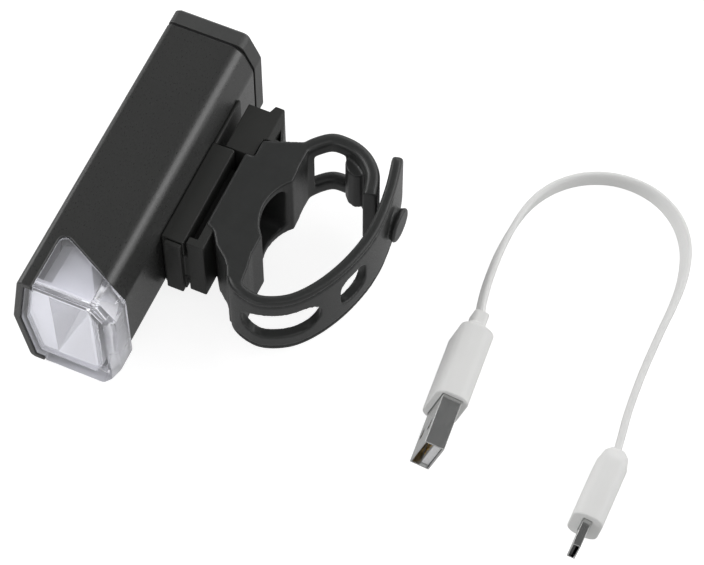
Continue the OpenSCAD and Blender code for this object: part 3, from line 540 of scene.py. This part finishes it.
def make_cord():
    """The cord's piece, and the middle of the cord along its route in metres."""
    path = smooth_curve(CORD_ROUTE, CORD_STEPS)
    rings = []
    for p, h in zip(path, headings(path)):
        lean = math.radians(p[3])
        ring = []
        for across, along in cord_outline():
            side = across * math.cos(lean) + along * math.sin(lean)
            up = along * math.cos(lean) - across * math.sin(lean)
            ring.append((p[0] + side * h[1], p[1] - side * h[0], p[2] + up))
        rings.append(ring)
    mesh = to_metres(loft(rings))
    smooth_by_angle(mesh, CORD_SHARP_ANGLE)
    piece = add_piece("cord_jacket", mesh, "cable", "white_jacket", "charging_cord")
    return piece, [p[:3] * MM for p in path]


cord, cord_path = make_cord()


# Rigid pieces: CAD shapes with rounded edges, by the width of the rounding in millimetres

EDGES = {
    "body_tube": 0.25, "rear_gasket": 0.1, "rear_cap": 0.1, "cap_screws": 0.08, "port_cover": 0.3,
    "lens_gasket": 0.1, "led_emitter": 0.1, "led_board": 0.1, "heat_sink": 0.15, "led_leads": 0.0,
    "battery_cell": 0.4, "battery_leads": 0.0, "inner_frame": 0.15, "main_board": 0.1,
    "micro_usb_socket": 0.08, "tactile_switch": 0.15, "switch_plunger": 0.15, "power_button": 0.35,
    "button_bezel": 0.3,
    "rail_bracket": 0.25, "rail_screws": 0.08, "latch_lever": 0.18, "clamp_slider": 0.3, "clamp_screw": 0.12,
    "clamp_washer": 0.08, "usb_a_shell_tube": 0.12, "usb_a_tongue": 0.15, "usb_a_contacts": 0.06,
    "micro_usb_shell": 0.08, "micro_usb_tongue": 0.06, "usb_a_overmould": 0.25, "micro_usb_overmould": 0.25,
    "reflector": 0.08, "lens": 0.25,
}

skins = {node: dress(node, edge * MM) for node, edge in EDGES.items()}


# Reflector deck: the white facets that close the lamp under the lens's window, in millimetres

DECK_RINGS = (
    ((-7.3, -36.2, 26.6), (-4.6, -36.2, 28.5), (6.2, -36.2, 28.5), (9.2, -36.2, 24.5)),
    ((-7.3, -25, 26), (-4.6, -25, 27.6), (-0.7, -25, 27.4), (5.5, -27.5, 23)),
    ((-7.3, -23.6, 24), (-4.6, -23.6, 25), (-0.7, -23.6, 25), (5.5, -23.6, 22)),
)
DECK_THICKNESS = 0.6
DECK_EDGE = 0.12


def make_deck():
    rings = []
    for ring in DECK_RINGS:
        under = [(x, y, z - DECK_THICKNESS) for x, y, z in reversed(ring)]
        rings.append([*ring, *under])
    piece = add_piece("reflector_deck", to_metres(loft(rings)), "lamp", "mirror_plastic")
    soften(piece, DECK_EDGE * MM)


make_deck()


# Rubber clamp: saddle with hook arm, and strap, in millimetres

SEAT = Vector(MOUNTS["handlebar_clamp"]["pos_m"]) / MM
BAR_RADIUS = MOUNTS["handlebar_clamp"]["dims"]["r_mm"]
BAR_SIDES = 96
PLATE_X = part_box("clamp_slider")[1].x / MM
PLATE_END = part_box("clamp_slider")[1].y / MM
PLATE_COVER = 2.1
HEEL_OUT = 4.6
POCKET_FLOOR = 1.5
POCKET_HALF = (6.7, 7.8)
POCKET_CORNER = 2.0
SCREW_HOLE_RADIUS = 1.6
SCREW_HOLE_SPAN = (-1, 3)
CUT_SPARE = 2
STRAP_WIDTH = 20.0
STRAP_THICKNESS = 2.5
STRAP_EDGE = 0.9
STRAP_TIP = 2.5
SLOT_HEIGHT = 9.2
SLOT_REACH = 6.2
ARM_THICKNESS = 3.2
ARM_EDGE = 1.3
PLAIN_EDGE = 0.05
WINDOW_HEIGHT = 11.0
HEAD_HALF = 6.5
Z_LOW = SEAT.z - STRAP_WIDTH / 2
Z_HIGH = SEAT.z + STRAP_WIDTH / 2
RUBBER_VOXEL = 0.3
RUBBER_EASE = 0.5
RUBBER_ROUNDS = 5
RUBBER_SHARP_ANGLE = 60

# Plans: the saddle's lead is measured from the plate in x, and all else from the middle of the seat
SADDLE_LEAD = ((-PLATE_COVER, -9.6), (0, -10.6), (2, -13.6))
SADDLE_PLAN = (
    (-13.2, -16.2), (-12.3, -17.4), (-9.9, -18.6), (-7.5, -18), (-7.7, -15.5), (-8.3, -12.5), (-8.2, -6.8),
    (-7.8, 7.2), (-8.1, 13.4), (-8, 16.5), (-10, 18.4), (-14, 16.8),
)
ARM_POINTS = (
    (-9.5, 16.8), (-7.5, 19.6), (-4.7, 22), (-1.7, 22.4), (1.7, 21.8), (4.9, 20), (7.5, 16.8), (8.9, 11.8),
)
HEAD_PLAN = (
    (-0.7, 21.2), (-0.1, 18.8), (1.3, 17.2), (3.1, 16.6), (4.5, 17.2), (5.3, 18.6), (6.3, 19.2), (4.5, 21),
)
STRAP_POINTS = (
    (-9.9, -17.7), (-8.7, -20.4), (-5.1, -22), (-1.1, -22), (3.9, -19.3), (7.8, -14.4),
    (10.8, -8), (12.7, -1), (13.3, 5), (13, 10.6), (12.1, 17), (10.4, 24.3),
)
ROOT_PLAN = ((-12.3, -17), (-11, -19.8), (-7.1, -21.6), (-6.7, -20.6), (-7.3, -19.4), (-7.5, -17))

# Steps along the arm's and the strap's paths; a slot also has the rounding of its ends
PATH_STEPS = 6
BELT_START = 4
ARM_WINDOW = (4, 20)
STRAP_SLOTS = ((9, 31, 4.2), (35, 42, 3), (46, 51, 2.4))
GROOVE_STEPS = (8, 58)
KNOB_STEP = 56

# Grooves of the strap: distance from its edges, width, and thickness of the half sunk cutter
GROOVE_IN = 1.6
GROOVE_WIDTH = 0.7
GROOVE_CUTTER = 0.8

# Knob: how far it stands out, and its radius at shares of its length
KNOB_OUT = 2.3
KNOB_RADIUS = 3.7
KNOB_RIM = 4.1
KNOB_STATIONS = ((0, KNOB_RADIUS), (0.7, KNOB_RADIUS), (0.76, KNOB_RIM), (0.94, KNOB_RIM), (1, KNOB_RADIUS))


def from_seat(points):
    """Plan points that are given from the middle of the seat."""
    return [np.array((SEAT.x + x, SEAT.y + y)) for x, y in points]


def plan_solid(outline, z0=Z_LOW, z1=Z_HIGH):
    """Closed prism of a plan outline."""
    return loft([[(p[0], p[1], z) for p in outline] for z in (z0, z1)])


def rounded_rectangle(width, height, corner, steps=4):
    """Points round a rectangle about the origin, with rounded corners."""
    out = []
    for quarter, (x, y) in enumerate(((1, 1), (-1, 1), (-1, -1), (1, -1))):
        for k in range(steps + 1):
            angle = math.pi / 2 * (quarter + k / steps)
            out.append((x * (width / 2 - corner) + corner * math.cos(angle),
                        y * (height / 2 - corner) + corner * math.sin(angle)))
    return out


def band_solid(path, thickness, z0=Z_LOW, z1=Z_HIGH, shift=0.0, edge=PLAIN_EDGE, tip=0.0):
    """Strip along a plan path with rounded long edges; the corners of its far end are rounded by tip."""
    run = [np.linalg.norm((b - a)[:2]) for a, b in zip(path, path[1:])]
    middle = (z0 + z1) / 2
    rings = []
    for i, (p, h) in enumerate(zip(path, headings(path))):
        short = tip - min(sum(run[i:]), tip)
        drop = tip - math.sqrt(tip ** 2 - short ** 2)
        section = rounded_rectangle(thickness, z1 - z0 - 2 * drop, edge)
        side = np.array((-h[1], h[0]))
        rings.append([(*(p[:2] + (shift + a) * side), middle + b) for a, b in section])
    return loft(rings)


def block_solid(start, along, across, length, height, corner, reach):
    """Block with rounded corners: from a plan point its face lies along and up, and reach spans across."""
    face = rounded_rectangle(length, height, corner)
    middle = np.array(start) + np.array(along) * length / 2
    rings = []
    for r in reach:
        foot = middle + r * np.array(across)
        rings.append([(*(foot + a * np.array(along)), SEAT.z + b) for a, b in face])
    return loft(rings)


def slot_solid(path, first, last, corner):
    """Cutter for a slot of the strap, straight across the chord between two steps of its path."""
    start, chord = path[first], path[last] - path[first]
    length = np.linalg.norm(chord)
    along = chord / length
    across = (-along[1], along[0])
    return block_solid(start, along, across, length, SLOT_HEIGHT, corner, (-SLOT_REACH, SLOT_REACH))


def turned_bar(start, end, stations, sides=32):
    """Round bar from start to end, with its radius at shares of the way."""
    a, b = Vector(start), Vector(end)
    axis = (b - a).normalized()
    side = axis.orthogonal().normalized()
    up = axis.cross(side)
    rings = []
    for share, radius in stations:
        middle = a.lerp(b, share)
        rings.append([middle + radius * (math.cos(t) * side + math.sin(t) * up)
                      for t in np.linspace(0, 2 * math.pi, sides, endpoint=False)])
    return loft(rings)


def plain_bar(start, end, radius, sides=32):
    return turned_bar(start, end, ((0, radius), (1, radius)), sides)


def temporary(mesh):
    piece = bpy.data.objects.new("temporary", mesh)
    bpy.context.scene.collection.objects.link(piece)
    return piece


def settled(piece):
    """The piece's mesh with its modifiers applied; the piece itself is removed."""
    graph = bpy.context.evaluated_depsgraph_get()
    mesh = bpy.data.meshes.new_from_object(piece.evaluated_get(graph))
    bpy.data.objects.remove(piece)
    return mesh


def cut(mesh, *cutters):
    """Mesh with the cutters taken away."""
    piece = temporary(mesh)
    tools = [temporary(c) for c in cutters]
    for tool in tools:
        step = piece.modifiers.new("cut", "BOOLEAN")
        step.operation = "DIFFERENCE"
        step.solver = "EXACT"
        step.object = tool
    out = settled(piece)
    for tool in tools:
        bpy.data.objects.remove(tool)
    return out


def joined(meshes):
    work = bmesh.new()
    for mesh in meshes:
        work.from_mesh(mesh)
    out = bpy.data.meshes.new("joined")
    work.to_mesh(out)
    work.free()
    return out


def rubber_skin(solids):
    """One smoothed skin around overlapping solids."""
    piece = temporary(joined(solids))
    skin = piece.modifiers.new("skin", "REMESH")
    skin.mode = "VOXEL"
    skin.voxel_size = RUBBER_VOXEL
    ease = piece.modifiers.new("ease", "SMOOTH")
    ease.factor = RUBBER_EASE
    ease.iterations = RUBBER_ROUNDS
    mesh = to_metres(settled(piece))
    smooth_by_angle(mesh, RUBBER_SHARP_ANGLE)
    return mesh


def make_saddle():
    """Saddle on the slider's plate, with the bar's seat, the pocket in it and the screw's hole."""
    lead = [(PLATE_X + x, SEAT.y + y) for x, y in SADDLE_LEAD]
    heel = [(PLATE_X, PLATE_END + HEEL_OUT), (PLATE_X, PLATE_END), (PLATE_X - PLATE_COVER, PLATE_END)]
    block = plan_solid(lead + from_seat(SADDLE_PLAN) + heel)
    bar_start, bar_end = [(SEAT.x, SEAT.y, z) for z in (Z_LOW - CUT_SPARE, Z_HIGH + CUT_SPARE)]
    seat = plain_bar(bar_start, bar_end, BAR_RADIUS, BAR_SIDES)
    half_y, half_z = POCKET_HALF
    corner = (PLATE_X + POCKET_FLOOR, SEAT.y - half_y)
    pocket = block_solid(corner, (0, 1), (1, 0), 2 * half_y, 2 * half_z, POCKET_CORNER, (0, SEAT.x - PLATE_X))
    hole_start, hole_end = [(PLATE_X + x, SEAT.y, SEAT.z) for x in SCREW_HOLE_SPAN]
    return [cut(block, seat, pocket, plain_bar(hole_start, hole_end, SCREW_HOLE_RADIUS))]


def make_arm():
    """Hook arm: two round rails, the web before and behind its window, and its head."""
    path = smooth_curve(from_seat(ARM_POINTS), PATH_STEPS)
    rail = (STRAP_WIDTH - WINDOW_HEIGHT) / 2
    first, last = ARM_WINDOW
    webs = [band_solid(stretch, ARM_THICKNESS, Z_LOW + rail / 2, Z_HIGH - rail / 2)
            for stretch in (path[:first + 1], path[last:])]
    return webs + [
        band_solid(path, ARM_THICKNESS, Z_LOW, Z_LOW + rail, edge=ARM_EDGE),
        band_solid(path, ARM_THICKNESS, Z_HIGH - rail, Z_HIGH, edge=ARM_EDGE),
        plan_solid(from_seat(HEAD_PLAN), SEAT.z - HEAD_HALF, SEAT.z + HEAD_HALF),
    ]


def make_strap():
    """Strap with its slots and the fine grooves of its outer face, its thick root and its knob."""
    path = smooth_curve(from_seat(STRAP_POINTS), PATH_STEPS)
    outer = STRAP_THICKNESS / 2
    first, last = GROOVE_STEPS
    half = GROOVE_WIDTH / 2
    grooves = [band_solid(path[first:last], GROOVE_CUTTER, z - half, z + half, shift=-outer)
               for z in (Z_LOW + GROOVE_IN, Z_HIGH - GROOVE_IN)]
    slots = [slot_solid(path, *slot) for slot in STRAP_SLOTS]
    belt = band_solid(path[BELT_START:], STRAP_THICKNESS, edge=STRAP_EDGE, tip=STRAP_TIP)
    x, y = path[KNOB_STEP]
    knob = turned_bar((x, y, SEAT.z), (x + outer + KNOB_OUT, y, SEAT.z), KNOB_STATIONS)
    return [cut(belt, *grooves, *slots), plan_solid(from_seat(ROOT_PLAN)), knob]


def make_rubber_clamp():
    """Saddle with its hook arm, which ride on the slider, and the strap, which curves away from its root and
    is tied to no body.
    """
    saddle = rubber_skin(make_saddle() + make_arm())
    add_piece("rubber_saddle", saddle, "clamp", "clamp_rubber", "clamp_saddle")
    strap = add_piece("rubber_strap", rubber_skin(make_strap()), None, "clamp_rubber", "clamp_strap")
    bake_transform(strap)


make_rubber_clamp()

bpy.context.scene.view_settings.view_transform = "Standard"
